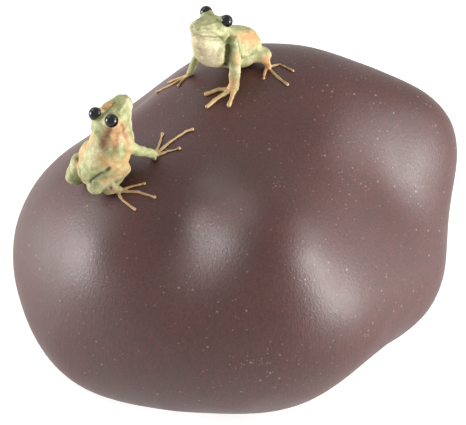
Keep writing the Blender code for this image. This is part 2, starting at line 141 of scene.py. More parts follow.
# The frogs, in steps. The place is where a frog sits, as shares of the stone's half length and half depth.
# Trunk, masses, legs and arms are (right, back, height above the stone, radius) from that place. The head
# has its middle and its turn as (heading from +X, pitch) in degrees. The chin is (forward, left, up,
# radius) on the head, and the eyes are set back, spread and raised from its middle. Each toe is a run of
# (right, back) points on the stone. A carved mark has how far it stands up, its half width, the wash on it
# if any, and its run. A wash has its slip, strength, half width and run. Both runs are (right, back, up)
# from the stone under the frog's place.
FROGS = {
    "shoulder_frog": {
        "place": (-0.56, -0.34),
        "trunk": [(-2.5, 0.3, 5.4, 4.5), (0.0, -0.1, 8.0, 5.2), (1.5, 0.7, 11.4, 5.1)],
        "masses": [(-2.4, 2.0, 7.4, 4.3), (10.7, 3.7, 1.0, 1.0), (11.0, 2.7, 0.9, 0.6)],
        "head": (0.9, -0.1, 17.6),
        "head_turn": (56, 17),
        "chin": (4.4, 0, -1.4, 2.6),
        "eye_radius": 1.6,
        "eye_spread": 2.3,
        "eye_height": 2.9,
        "eye_set_back": 0.9,
        "limbs": {
            "right leg": [(-2.6, -3.0, 4.1, 2.2), (3.8, -1.3, 4.3, 1.8), (0.2, -3.8, 2.2, 1.2),
                          (2.6, -3.2, 0.8, 0.8)],
            "left leg": [(-6.6, 3.4, 7.2, 2.2), (-8.0, 3.0, 4.5, 2.3), (-6.6, 7.0, 3.2, 1.7),
                         (-7.2, 5.1, 2.2, 1.2), (-4.5, 7.5, 0.8, 0.8)],
            "right arm": [(4.0, -1.1, 11.0, 1.6), (7.6, 1.1, 5.6, 1.25), (10.6, 3.5, 1.4, 1.0)],
            "left arm": [(-1.0, 4.3, 10.6, 1.6), (-0.6, 7.9, 5.2, 1.3), (1.0, 10.3, 1.3, 1.0)],
        },
        "toes": [
            ("thin", [(10.8, 3.9), (11.8, 6.3), (12.7, 9.9)]),
            ("thin", [(10.8, 3.9), (14.4, 7.1), (18.3, 9.8), (19.8, 10.2)]),
            ("thin", [(10.8, 3.9), (13.8, 4.7), (16.7, 5.2)]),
            ("thin", [(1.0, 10.3), (1.2, 12.9), (2.8, 15.3)]),
            ("thin", [(1.0, 10.3), (2.4, 12.3), (4.4, 13.5)]),
            ("thin", [(1.0, 10.3), (0.0, 12.7), (-0.2, 14.9)]),
            ("thin", [(2.4, -3.3), (5.4, -2.9), (8.7, -2.7)]),
            ("thin", [(2.4, -3.3), (7.0, -4.3), (11.2, -5.9)]),
            ("thin", [(2.4, -3.3), (3.6, -5.6), (6.6, -8.2)]),
            ("thin", [(-4.5, 7.5), (-2.8, 10.3), (-2.2, 13.1)]),
            ("thin", [(-4.5, 7.5), (-4.2, 10.9), (-5.0, 13.7)]),
            ("thin", [(-4.5, 7.5), (-6.0, 9.7), (-8.2, 11.3)]),
        ],
        # The dark green washes on the grooves below are painted shade
        "carving": [
            (-0.55, 0.45, ("shade_and_moss", 0.9, 0.35), [(-3.7, -4.0, 3.8), (-1.6, -4.8, 6.2), (0.8, -5.2, 8.4)]),
            (-0.3, 0.35, ("shade_and_moss", 0.7, 0.3), [(2.0, -4.0, 3.4), (3.1, -3.5, 3.7), (4.1, -2.4, 3.9)]),
            (-0.5, 0.4, ("shade_and_moss", 0.95, 0.35), [(0.9, -4.6, 2.2)]),
            (0.3, 0.4, ("orange", 1, 0.94), [(-1.8, -0.7, 21.4), (-0.4, 1.8, 21.0), (1.3, 1.9, 21.4)]),
            (-0.25, 0.35, ("shade_and_moss", 0.7, 0.3), [(-1.2, -1.4, 21.1), (0.3, -0.4, 21.1), (1.5, 0.9, 21.4),
                                               (2.4, 2.7, 21.7)]),
            (-0.2, 0.7, ("brown", 0.95, 1.12), [(1.2, -3.9, 18.3), (0.3, -4.1, 16.3), (-0.3, -3.8, 14.0)]),
            (0.15, 0.5, ("orange", 0.75, 1.36), [(-2.8, -1.2, 15.2), (-5.1, 1.2, 9.7), (-6.2, 0.3, 7.4)]),
            (-0.35, 0.5, ("shade_and_moss", 0.5, 0.4), [(-6.9, 2.2, 5.6), (-6.4, -1.7, 5.0), (-5.4, -2.6, 2.3)]),
            (-0.2, 0.5, ("orange", 0.85, 1.02), [(4.1, -2.3, 18.9), (4.7, -1.6, 15.5), (5.5, -2.3, 13.2)]),
        ],
        "washes": [
            ("orange", 0.9, 1.19, [(2.6, -3.5, 19.1), (3.1, -3.4, 16.9), (2.2, -3.8, 15.4)]),
            ("orange", 0.65, 1.8, [(-0.8, -4.7, 10.6), (0.6, -5.0, 9.9), (2.6, -4.6, 8.8)]),
            ("orange", 0.7, 0.85, [(2.0, -4.6, 10.6)]),
            ("orange", 0.85, 0.8, [(-6.9, 2.2, 7.0), (-7.0, 1.0, 4.4), (-5.2, -2.7, 2.1)]),
            ("orange", 0.7, 1.2, [(0.0, -4.4, 4.2), (3.8, -3.1, 6.1)]),
            ("orange", 0.7, 1.53, [(5.2, -2.4, 10.3), (4.8, -1.7, 6.8)]),
            ("brown", 0.7, 0.68, [(4.1, -2.3, 18.9), (4.7, -1.6, 15.5)]),
            ("brown", 0.65, 0.75, [(3.0, -3.3, 16.1), (2.4, -4.2, 13.2)]),
            ("brown", 0.7, 0.68, [(0.5, -4.7, 1.8), (1.9, -4.3, 1.1)]),
            ("brown", 0.55, 0.75, [(3.2, -3.4, 18.6), (3.7, -3.0, 17.3)]),
            # Painted shade: the two dark green washes that follow
            ("shade_and_moss", 0.6, 0.5, [(-9.2, 3.1, 3.0), (-8.8, 1.3, 1.4), (-8.2, 0.8, 0.0)]),
            ("shade_and_moss", 0.4, 0.4, [(0.3, -4.0, 18.1), (-0.7, -3.7, 14.6)]),
            ("cream", 0.9, 0.96, [(5.5, 3.5, 21.3), (6.2, 2.6, 19.5), (6.0, 2.4, 16.0), (6.4, 1.4, 13.2),
                                 (6.6, 0.8, 11.6)]),
            ("cream", 0.3, 1.0, [(-2.0, -3.5, 12.2), (-3.3, -4.0, 8.7)]),
            ("cream", 0.35, 0.8, [(-4.1, -4.3, 0.9), (-0.3, -4.5, 3.1), (3.2, -3.4, 4.8)]),
        ],
    },
    "summit_frog": {
        "place": (0.0, 0.24),
        "trunk": [(3.3, 2.0, 5.2, 5.1), (0.4, -0.2, 7.2, 5.2), (-3.1, -2.6, 9.8, 5.4)],
        "masses": [(1.3, -7.9, 1.0, 1.15), (2.1, -8.3, 0.9, 0.7), (-9.2, 1.8, 0.9, 0.9)],
        "head": (-3.3, -3.0, 14.9),
        "head_turn": (232, 20),
        "chin": (4.0, 0, -2.0, 2.7),
        "eye_radius": 1.55,
        "eye_spread": 3.05,
        "eye_height": 2.95,
        "eye_set_back": 0.2,
        "limbs": {
            "left leg": [(5.0, 0.2, 4.6, 2.5), (8.8, 0.4, 3.1, 1.95), (9.4, 0.0, 1.4, 1.1),
                         (10.0, -1.2, 0.8, 0.7)],
            "right leg": [(1.4, 4.8, 4.8, 2.5), (-1.4, 7.4, 3.8, 2.0), (1.2, 8.2, 2.0, 1.2),
                          (-1.4, 8.6, 0.8, 0.8)],
            "left arm": [(1.4, -5.0, 11.4, 1.9), (1.9, -6.6, 7.1, 1.5), (1.7, -7.9, 1.5, 1.25)],
            "right arm": [(-5.4, 2.0, 9.0, 1.4), (-7.4, 1.8, 5.2, 1.05), (-8.9, 1.8, 1.4, 0.9)],
        },
        "toes": [
            ("broad", [(1.2, -7.9), (-2.0, -7.5), (-5.1, -8.6)]),
            ("broad", [(1.2, -8.0), (-2.3, -10.4), (-4.7, -12.8)]),
            ("broad", [(1.6, -8.2), (1.2, -10.2), (0.4, -12.7)]),
            ("thin", [(-9.2, 1.9), (-12.2, 3.0), (-14.5, 4.0)]),
            ("thin", [(-9.2, 1.9), (-13.0, 0.6), (-17.3, 1.3)]),
            ("thin", [(-9.2, 1.9), (-11.0, 0.0), (-11.8, -1.8)]),
            ("thin", [(9.7, -0.6), (9.2, -2.4), (8.9, -4.6)]),
            ("thin", [(9.7, -0.6), (12.6, -4.8), (14.5, -6.7)]),
            ("thin", [(9.7, -0.6), (12.8, 0.4), (15.9, -2.0)]),
            ("thin", [(-1.4, 8.6), (-4.0, 9.0), (-6.6, 10.2)]),
            ("thin", [(-1.4, 8.6), (-3.0, 10.8), (-4.2, 13.4)]),
            ("thin", [(-1.4, 8.6), (-0.8, 11.2), (0.2, 13.8)]),
        ],
        # The dark green washes on the grooves below are painted shade
        "carving": [
            (-0.22, 0.35, ("shade_and_moss", 0.4, 0.3), [(-8.2, -8.5, 17.1), (-5.7, -9.3, 17.4), (-3.5, -8.2, 16.8),
                                               (-2.0, -7.3, 14.8), (-0.7, -6.2, 12.4)]),
            (-0.8, 0.5, ("shade_and_moss", 0.95, 0.55), [(0.1, -6.5, 11.4), (-0.1, -7.1, 8.9), (-0.5, -5.3, 4.7)]),
            (-0.35, 0.4, ("shade_and_moss", 0.6, 0.35), [(5.5, -2.7, 6.1), (6.4, -2.0, 6.3), (7.0, -1.3, 6.7)]),
            (-0.3, 0.35, ("shade_and_moss", 0.4, 0.4), [(2.5, -5.8, 12.7), (3.1, -6.4, 10.2), (3.5, -4.2, 6.2)]),
            (-0.25, 0.6, None, [(-5.7, -8.4, 18.2), (-4.3, -8.0, 17.6)]),
            (0.2, 0.5, None, [(-1.7, -6.7, 16.1), (0.7, -4.9, 13.1)]),
        ],
        "washes": [
            ("cream", 1, 3.0, [(-6.9, -8.9, 14.5), (-5.0, -7.9, 10.2), (-2.9, -7.2, 6.5)]),
            ("cream", 0.8, 1.4, [(-7.5, -8.7, 15.6), (-4.9, -8.8, 14.9), (-2.6, -7.4, 12.0)]),
            ("cream", 0.6, 1.44, [(-0.1, -4.2, 3.8), (3.1, -7.6, 6.0), (6.9, -1.0, 3.0)]),
            ("cream", 0.7, 0.8, [(-8.4, -6.2, 17.7)]),
            ("orange", 0.9, 0.77, [(2.2, -4.8, 13.1)]),
            ("orange", 1, 1.9, [(4.6, -1.4, 10.2), (6.4, 0.6, 9.4)]),
            ("orange", 0.7, 1.2, [(2.6, -3.4, 12.0), (4.6, -2.1, 9.8)]),
            ("orange", 0.8, 0.77, [(2.5, -7.2, 9.4), (2.2, -7.8, 8.0)]),
            ("orange", 0.95, 1.36, [(9.5, -1.4, 3.9), (10.4, -1.8, 1.7)]),
            ("orange", 0.9, 1.19, [(9.5, -2.0, 1.4), (8.8, -5.0, 0.9)]),
            ("orange", 0.75, 1.4, [(0.4, -8.3, 1.1), (1.4, -8.4, 2.6)]),
            ("brown", 0.6, 0.6, [(-4.0, -8.3, 13.4)]),
            ("brown", 0.5, 0.52, [(-5.9, -7.1, 8.2)]),
            ("brown", 0.7, 0.45, [(-2.3, -5.5, 4.7)]),
            ("brown", 0.55, 0.45, [(-1.7, -5.0, 4.4), (0.7, -7.7, 5.4)]),
            ("brown", 0.5, 0.52, [(3.1, -7.6, 5.9), (5.6, -1.0, 2.3), (8.5, -1.5, 3.5)]),
            # Painted shade: a dark green wash along the left arm
            ("shade_and_moss", 0.35, 0.8, [(1.3, -6.8, 12.0), (1.0, -7.2, 9.8)]),
        ],
    },
}

# The slips that a frog is washed with, in the order they are laid on, each an attribute of its skin. The
# last, a dark green, is painted shade in the creases, the grooves and where parts meet.
SLIPS = ("orange", "brown", "cream", "tan", "shade_and_moss")

# The spatula's strokes on the boulder: their width, length and depth, and the depth of the clays' grain
STROKE_WIDTH = 0.5 * MM
STROKE_LENGTH = 6 * MM
STROKE_DEPTH = 0.1 * MM
GRAIN_DEPTH = 0.08 * MM

# How strongly the strokes, the purple clay's grain and the green clay's grain stand out
STROKE_BUMP = 0.6
GRAIN_BUMP = 0.45
SKIN_BUMP = 0.5

# The detail of the boulder's patches, of the frogs' patches and of the finest noises, how far the strokes
# sway, and the stretches of a noise that are used
PATCH_DETAIL = 4.0
SKIN_DETAIL = 3.0
FINE_DETAIL = 2.0
STROKE_SWAY = 0.6
MOST_OF_NOISE = (0.3, 0.7)
MIDDLE_OF_NOISE = (0.35, 0.65)

# What a noise's low and high end do: the share of the colour left by the grain, the strokes and the green
# clay's grain, how fully a wash covers, and what the rubbing adds to the boulder's roughness
GRAIN_TONES = (0.55, 1.55)
STROKE_TONES = (0.82, 1.2)
SKIN_TONES = (0.8, 1.18)
WASH_COVER = (1.35, 0.45)
RUBBED = (-0.03, 0.05)

# How far from its place a pale or dark grain ends and is full, as shares of the distance between places
SPECK_EDGE = (0.32, 0.12)

# The index of refraction of the fired clays and the paper, and the plain values of glaze and paper
CLAY_IOR = 1.5
GLAZE_COLOUR = "#040405"
GLAZE_ROUGHNESS = 0.05
GLAZE_IOR = 1.42
PAPER_ROUGHNESS = 0.9
WHITE = (1, 1, 1, 1)

# Where the boulder's skin is pitted or has clusters of pale grains: heading and elevation seen from its
# middle, reach in degrees and share of marks added. Small marks are this much finer and commoner.
STONE_MARKS = {
    "pitted": [(202, 22, 5, 0.35), (211, 19, 4, 0.3), (255, 52, 1.6, 0.6), (326, 65, 1.2, 0.6),
               (13, 35, 1.4, 0.6), (300, 12, 1.3, 0.6), (95, 30, 6, 0.25), (120, -5, 5, 0.25)],
    "flecked": [(278, 8, 4, 0.35), (306, 7, 2, 0.5), (294, 54, 1.6, 0.5), (226, 26, 1.6, 0.5),
                (342, 42, 18, 0.05), (30, 58, 16, 0.05), (60, 10, 6, 0.2), (160, 20, 5, 0.2)],
}
FINER = 0.6
MORE = 2

# The camera: the point it looks at, where it stands as heading from +X and elevation in degrees and as
# distance, its lens and full frame in millimetres, and the nearest thing that it shows
LOOK_AT = Vector((1.4 * MM, 0, 43.8 * MM))
CAMERA_HEADING = -90
CAMERA_ELEVATION = 40
CAMERA_DISTANCE = 0.44
CAMERA_LENS = 135
CAMERA_SENSOR = 36
CAMERA_NEAR = 0.01

# The softboxes: heading from +X and elevation in degrees, seen from the boulder, side in metres and share
# of the lamp power
LAMPS = {
    "left_softbox": (180, 11, 0.3, 0.93),
    "right_softbox": (335, 10, 0.3, 1.15),
    "right_fill": (2, 30, 0.4, 0.32),
    "back_fill": (150, 50, 0.4, 0.2),
}
LAMP_AIM = Vector((0, 0, 40 * MM))

# How finely round shapes are divided, and how far a round of smoothing moves a point towards its neighbours
HOLLOW_FINENESS = 4
BALL_FINENESS = 4
RING_SIDES = 32
ROD_SIDES = 24
SMOOTHING = 0.5


def linear(colour):
    """An sRGB hex colour as linear red, green and blue, by the curve of that standard."""
    channels = [int(colour[i:i + 2], 16) / 255 for i in (1, 3, 5)]
    return [c / 12.92 if c <= 0.04045 else ((c + 0.055) / 1.055) ** 2.4 for c in channels]


def direction(heading, elevation):
    """The unit vector at this heading from +X and this elevation, in degrees."""
    a = math.radians(heading)
    e = math.radians(elevation)
    return Vector((math.cos(a) * math.cos(e), math.sin(a) * math.cos(e), math.sin(e)))


def facing(rays, heading, elevation, reach):
    """1 for the unit vectors along this direction, fading with the angle to it as a share of the reach."""
    cosines = np.clip(rays @ np.array(direction(heading, elevation)), -1, 1)
    return np.exp(-((np.degrees(np.arccos(cosines)) / reach) ** 2))


def stone_reach(rays):
    """How far the stone's surface lies from its middle along each unit vector of an array."""
    plain = np.linalg.norm(rays / np.array(STONE_HALF_SIZES), axis=1)
    swell = np.ones(len(rays))
    for heading, elevation, rise, reach in SWELLINGS.values():
        swell += rise * facing(rays, heading, elevation, reach)
    return swell / plain


def settle(heights, floor):
    """Heights flattened onto the floor, with a rounded edge between the side and the flat."""
    above = np.clip(heights - floor, -FOOT_ROUNDING, FOOT_ROUNDING)
    rounded = floor + (above + FOOT_ROUNDING) ** 2 / (4 * FOOT_ROUNDING)
    return np.where(heights - floor > FOOT_ROUNDING, heights, rounded)


def coordinates(vertices):
    """The places of a bmesh's or a mesh's vertices as an array."""
    return np.array([vertex.co for vertex in vertices])


def from_middle(points):
    """The unit vectors from the stone's middle to the points, and the distances."""
    rays = points - np.array((0, 0, STONE_MIDDLE_HEIGHT))
    lengths = np.linalg.norm(rays, axis=1)
    return rays / lengths[:, None], lengths


def unevenness(points, wave, depth):
    """How far a hand-smoothed surface stands up or down at each point, with waves of this length."""
    return np.array([noise.noise(Vector(point) / wave) for point in points]) * depth


def shell(subdivisions, inset, wave=0, depth=0):
    """A bmesh of the stone's surface moved in by the inset, with its flat foot that much higher."""
    bm = bmesh.new()
    bmesh.ops.create_icosphere(bm, subdivisions=subdivisions, radius=1)
    rays = coordinates(bm.verts)
    rays /= np.linalg.norm(rays, axis=1)[:, None]
    reach = stone_reach(rays) - inset
    if depth:
        reach += unevenness(rays * reach[:, None], wave, depth) - depth / 2
    points = rays * reach[:, None]
    points[:, 2] = settle(points[:, 2] + STONE_MIDDLE_HEIGHT, inset)
    for vert, point in zip(bm.verts, points):
        vert.co = point
    return bm


def mark_stone(mesh):
    """Store at every point of the boulder how many more pits and pale grains lie there."""
    rays, _ = from_middle(coordinates(mesh.vertices))
    for name, spots in STONE_MARKS.items():
        added = np.zeros(len(rays))
        for heading, elevation, reach, share in spots:
            added = np.maximum(added, share * facing(rays, heading, elevation, reach))
        mesh.attributes.new(name, "FLOAT", "POINT").data.foreach_set("value", added)


def make_piece(name, bm, material=None):
    """A named object from a bmesh, smooth shaded, with one material."""
    mesh = bpy.data.meshes.new(name)
    bm.to_mesh(mesh)
    bm.free()
    mesh.shade_smooth()
    if material:
        mesh.materials.append(material)
    piece = bpy.data.objects.new(name, mesh)
    bpy.context.scene.collection.objects.link(piece)
    return piece


def apply_modifiers(piece):
    """Turn what the piece's modifiers show into its own mesh."""
    depsgraph = bpy.context.evaluated_depsgraph_get()
    mesh = bpy.data.meshes.new_from_object(piece.evaluated_get(depsgraph))
    old = piece.data
    piece.modifiers.clear()
    piece.data = mesh
    bpy.data.meshes.remove(old)
    mesh.name = piece.name
    mesh.shade_smooth()


def cut(piece, cutter):
    """Take the cutter's shape out of the piece, for good."""
    modifier = piece.modifiers.new("cut", "BOOLEAN")
    modifier.operation = "DIFFERENCE"
    modifier.solver = "EXACT"
    modifier.object = cutter
    apply_modifiers(piece)
    mesh = cutter.data
    bpy.data.objects.remove(cutter)
    bpy.data.meshes.remove(mesh)


def stand_for(piece, node):
    """Give the piece its body and hide the CAD node that it stands for."""
    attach(piece, BODY)
    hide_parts(node)


def stone_tree():
    """The CAD stone as something that rays can be cast at."""
    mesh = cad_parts["stone"].data
    return BVHTree.FromPolygons([v.co for v in mesh.vertices], [p.vertices for p in mesh.polygons])


def stone_under(tree, frog, right, back):
    """The point of the stone under a (right, back) point of a frog's table, and the normal there."""
    x = frog["place"][0] * STONE_HALF_SIZES[0] + right * FROG_STEP
    y = frog["place"][1] * STONE_HALF_SIZES[1] + back * FROG_STEP
    return tree.ray_cast(Vector((x, y, LOOKOUT)), Vector((0, 0, -1)))[:2]


def over(tree, frog, right, back, height):
    """The point this high above the stone at a (right, back) point of a frog's table, in metres."""
    top, _ = stone_under(tree, frog, right, back)
    return top + Vector((0, 0, height * FROG_STEP))


def track(tree, frog, points, height):
    """The (right, back) points of a toe as points this high off the stone, along the stone's normal."""
    run = []
    for right, back in points:
        top, normal = stone_under(tree, frog, right, back)
        run.append(top + normal * height)
    return run


def ball(bm, centre, radius):
    """A closed ball."""
    matrix = Matrix.Translation(centre)
    bmesh.ops.create_icosphere(bm, subdivisions=BALL_FINENESS, radius=radius, matrix=matrix)


def rod(bm, start, end, start_radius, end_radius):
    """A tapered limb between two points with round ends."""
    along = end - start
    turn = along.to_track_quat("Z", "Y").to_matrix().to_4x4()
    matrix = Matrix.Translation((start + end) / 2) @ turn
    bmesh.ops.create_cone(bm, cap_ends=True, segments=ROD_SIDES, radius1=start_radius,
                          radius2=end_radius, depth=along.length, matrix=matrix)
    ball(bm, start, start_radius)
    ball(bm, end, end_radius)


def limb(bm, points, radii):
    """A bent limb through the points, as thick as the radii at them in steps."""
    for i in range(len(points) - 1):
        rod(bm, points[i], points[i + 1], radii[i] * FROG_STEP, radii[i + 1] * FROG_STEP)


def loft(bm, turn, stations):
    """A closed body through rings square to the turned X axis: (centre, half width, half height)."""
    upright = Matrix(((0, 0, 1, 0), (1, 0, 0, 0), (0, 1, 0, 0), (0, 0, 0, 1)))
    rings = []
    for centre, half_width, half_height in stations:
        size = Matrix.Diagonal((half_width, half_height, 1, 1))
        matrix = Matrix.Translation(centre) @ turn @ upright @ size
        made = bmesh.ops.create_circle(bm, cap_ends=False, segments=RING_SIDES, radius=1, matrix=matrix)
        rings.append(made["verts"])
    for lower, upper in zip(rings, rings[1:]):
        pair = set(lower) | set(upper)
        edges = {edge for vert in pair for edge in vert.link_edges
                 if (edge.verts[0] in lower and edge.verts[1] in lower)
                 or (edge.verts[0] in upper and edge.verts[1] in upper)}
        bmesh.ops.bridge_loops(bm, edges=list(edges))
    bmesh.ops.contextual_create(bm, geom=rings[0])
    bmesh.ops.contextual_create(bm, geom=rings[-1])


def head_turn(frog):
    """The rotation that takes +X to where the head looks and +Z to its crown."""
    heading, pitch = frog["head_turn"]
    turn = Matrix.Rotation(math.radians(heading), 4, "Z")
    return turn @ Matrix.Rotation(-math.radians(pitch), 4, "Y")


def on_head(tree, frog, offset):
    """A (forward, left, up) point of the head, in steps from its middle, in metres."""
    return over(tree, frog, *frog["head"]) + head_turn(frog).to_3x3() @ (Vector(offset) * FROG_STEP)


def eye_centres(tree, frog):
    """The middles of the two eye beads, by side."""
    centres = {}
    for side, sign in (("left", 1), ("right", -1)):
        offset = (-frog["eye_set_back"], sign * frog["eye_spread"], frog["eye_height"])
        centres[side] = on_head(tree, frog, offset)
    return centres


def frog_shapes(tree, frog):
    """Trunk, head, brows, legs, arms and toes of a frog as closed shapes that run into each other."""
    bm = bmesh.new()
    for run in [frog["trunk"], *frog["limbs"].values()]:
        limb(bm, [over(tree, frog, *point[:3]) for point in run], [point[3] for point in run])
    for right, back, height, radius in frog["masses"]:
        ball(bm, over(tree, frog, right, back, height), radius * FROG_STEP)
    chest = over(tree, frog, *frog["trunk"][-1][:3])
    chest_radius = frog["trunk"][-1][3]
    *chin, chin_radius = frog["chin"]
    limb(bm, [on_head(tree, frog, chin), chest], [chin_radius, chest_radius])
    limb(bm, [on_head(tree, frog, NAPE), chest], [NAPE_RADIUS, chest_radius])
    stations = []
    for forward, up, half_width, half_height in HEAD_STATIONS:
        centre = on_head(tree, frog, (forward, 0, up))
        stations.append((centre, half_width * FROG_STEP, half_height * FROG_STEP))
    loft(bm, head_turn(frog), stations)
    head = over(tree, frog, *frog["head"])
    for eye in eye_centres(tree, frog).values():
        brow = eye + (head - eye).normalized() * BROW_DEPTH * FROG_STEP
        ball(bm, brow, (frog["eye_radius"] + BROW_RIM) * FROG_STEP)
    for shape, points in frog["toes"]:
        root, shaft, tip = TOES[shape]
        run = track(tree, frog, points, TOE_LIFT * shaft * FROG_STEP)
        limb(bm, run, [root] + [shaft] * (len(run) - 1))
        ball(bm, run[-1], tip * FROG_STEP)
    bmesh.ops.recalc_face_normals(bm, faces=bm.faces)
    return bm


def soften_body(mesh, height, rounds):
    """Blend what stands higher than this off the stone, and leave the toes alone."""
    bm = bmesh.new()
    bm.from_mesh(mesh)
    rays, lengths = from_middle(coordinates(bm.verts))
    off_stone = lengths - stone_reach(rays)
    body = [vert for vert, off in zip(bm.verts, off_stone) if off > height]
    for _ in range(rounds):
        bmesh.ops.smooth_vert(bm, verts=body, factor=SMOOTHING, use_axis_x=True, use_axis_y=True,
                              use_axis_z=True)
    bm.to_mesh(mesh)
    bm.free()


def distance_to_run(points, run):
    """How far each point is from a bent line."""
    run = [np.array(corner) for corner in run]
    if len(run) == 1:
        return np.linalg.norm(points - run[0], axis=1)
    nearest = np.full(len(points), np.inf)
    for start, end in zip(run, run[1:]):
        along = end - start
        share = np.clip((points - start) @ along / (along @ along), 0, 1)
        nearest = np.minimum(nearest, np.linalg.norm(points - start - share[:, None] * along, axis=1))
    return nearest


def closeness(points, run, width):
    """1 for the points on a bent line, fading with the distance to it as a share of the half width."""
    return np.exp(-((distance_to_run(points, run) / (width * FROG_STEP)) ** 2))


def frog_origin(tree, frog):
    """The point of the stone under a frog's place, from which its carving and washes are measured."""
    return stone_under(tree, frog, 0, 0)[0]


def marks(tree, frog):
    """The frog's own marks and those of its head, as height, half width and a run of places."""
    origin = frog_origin(tree, frog)
    for height, width, _, run in frog["carving"]:
        yield height, width, [origin + Vector(corner) * FROG_STEP for corner in run]
    for height, width, run in HEAD_CARVING.values():
        for side in (1, -1):
            yield height, width, [on_head(tree, frog, (x, side * y, z)) for x, y, z in run]


def carve(mesh, tree, frog, settings):
    """Press the grooves in, raise the ridges and return how deep in a crease each point lies, up to 1."""
    points = coordinates(mesh.vertices)
    normals = np.array([vertex.normal for vertex in mesh.vertices])
    rise = np.zeros(len(points))
    for height, width, line in marks(tree, frog):
        rise += height * FROG_STEP * closeness(points, line, width)
    points += normals * (rise + unevenness(points, settings.skin_wave, settings.skin_depth))[:, None]
    mesh.vertices.foreach_set("co", points.ravel())
    mesh.update()
    return np.clip(-rise / CREASE_DEPTH, 0, 1)


def rest_on_stone(mesh, sink):
    """Flatten whatever lies below the stone's surface onto it, this far under the surface."""
    rays, lengths = from_middle(coordinates(mesh.vertices))
    lengths = np.maximum(lengths, stone_reach(rays) - sink)
    points = np.array((0, 0, STONE_MIDDLE_HEIGHT)) + rays * lengths[:, None]
    mesh.vertices.foreach_set("co", points.ravel())
    mesh.update()


def paint_washes(mesh, tree, frog, creases):
    """Store how much of each wash every point of the frog's skin carries."""
    origin = np.array(frog_origin(tree, frog))
    points = coordinates(mesh.vertices)
    washed = frog["washes"] + [(*wash, run) for _, _, wash, run in frog["carving"] if wash]
    for slip in SLIPS:
        # Painted shade: the dark green wash darkens each crease as far as it is deep
        cover = creases * SHADE_IN_CREASES if slip == "shade_and_moss" else np.zeros(len(points))
        for name, strength, width, run in washed:
            if name == slip:
                line = [origin + np.array(corner) * FROG_STEP for corner in run]
                cover = np.maximum(cover, strength * closeness(points, line, width))
        if slip == "tan":
            for _, toe in frog["toes"]:
                line = track(tree, frog, toe[1:], 0)
                cover = np.maximum(cover, TAN_ON_TOES * closeness(points, line, TAN_REACH))
        mesh.attributes.new(slip, "FLOAT", "POINT").data.foreach_set("value", cover)


def add_node(tree, kind, inputs=None, **settings):
    """Add a shader node with its settings, and its inputs as values or as links from sockets."""
    made = tree.nodes.new("ShaderNode" + kind)
    for name, value in settings.items():
        setattr(made, name, value)
    for name, value in (inputs or {}).items():
        socket = next(s for s in made.inputs if s.identifier == name)
        if isinstance(value, bpy.types.NodeSocket):
            tree.links.new(value, socket)
        else:
            socket.default_value = value
    return made


def patches(tree, place, size, detail, sway=0.0):
    """Noise with patches of this size."""
    return add_node(tree, "TexNoise", {"Vector": place, "Scale": 1 / size, "Detail": detail,
                                       "Distortion": sway}).outputs["Fac"]


def stretch(tree, value, ends, results=(0, 1)):
    """What lies between two ends of a value, drawn out between two results."""
    return add_node(tree, "MapRange", {"Value": value, "From Min": ends[0], "From Max": ends[1],
                                       "To Min": results[0], "To Max": results[1]}).outputs["Result"]


def blend(tree, share, under, over):
    """The colour under, with this share of the colour over it."""
    return add_node(tree, "Mix", {"Factor_Float": share, "A_Color": under, "B_Color": over},
                    data_type="RGBA").outputs[2]


def toned(tree, colour, share):
    """This share of a colour."""
    return add_node(tree, "VectorMath", {"Vector": colour, "Scale": share}, operation="SCALE").outputs[0]


def maths(tree, operation, first, second, **settings):
    """One calculation with two values."""
    return add_node(tree, "Math", {"Value": first, "Value_001": second}, operation=operation,
                    **settings).outputs[0]


def bump(tree, height, strength, depth, **inputs):
    """The normal of a surface that this pattern raises, on a flat one or on the normal given."""
    return add_node(tree, "Bump", {"Height": height, "Strength": strength, "Distance": depth,
                                   **inputs}).outputs["Normal"]


def seen_rays(tree):
    """1 on rays that show the surround itself: the camera's, a reflection's and what passes through."""
    path = add_node(tree, "LightPath")
    either = maths(tree, "MAXIMUM", path.outputs["Is Camera Ray"], path.outputs["Is Glossy Ray"])
    return maths(tree, "MAXIMUM", either, path.outputs["Is Transmission Ray"])


def new_material(name, colour, roughness, ior=CLAY_IOR):
    """A material with its Principled shader's plain values, and that shader."""
    material = bpy.data.materials.new(name)
    material.use_nodes = True
    shader = material.node_tree.nodes["Principled BSDF"]
    shader.inputs["Base Color"].default_value = (*colour, 1)
    shader.inputs["Roughness"].default_value = roughness
    shader.inputs["IOR"].default_value = ior
    return material, shader


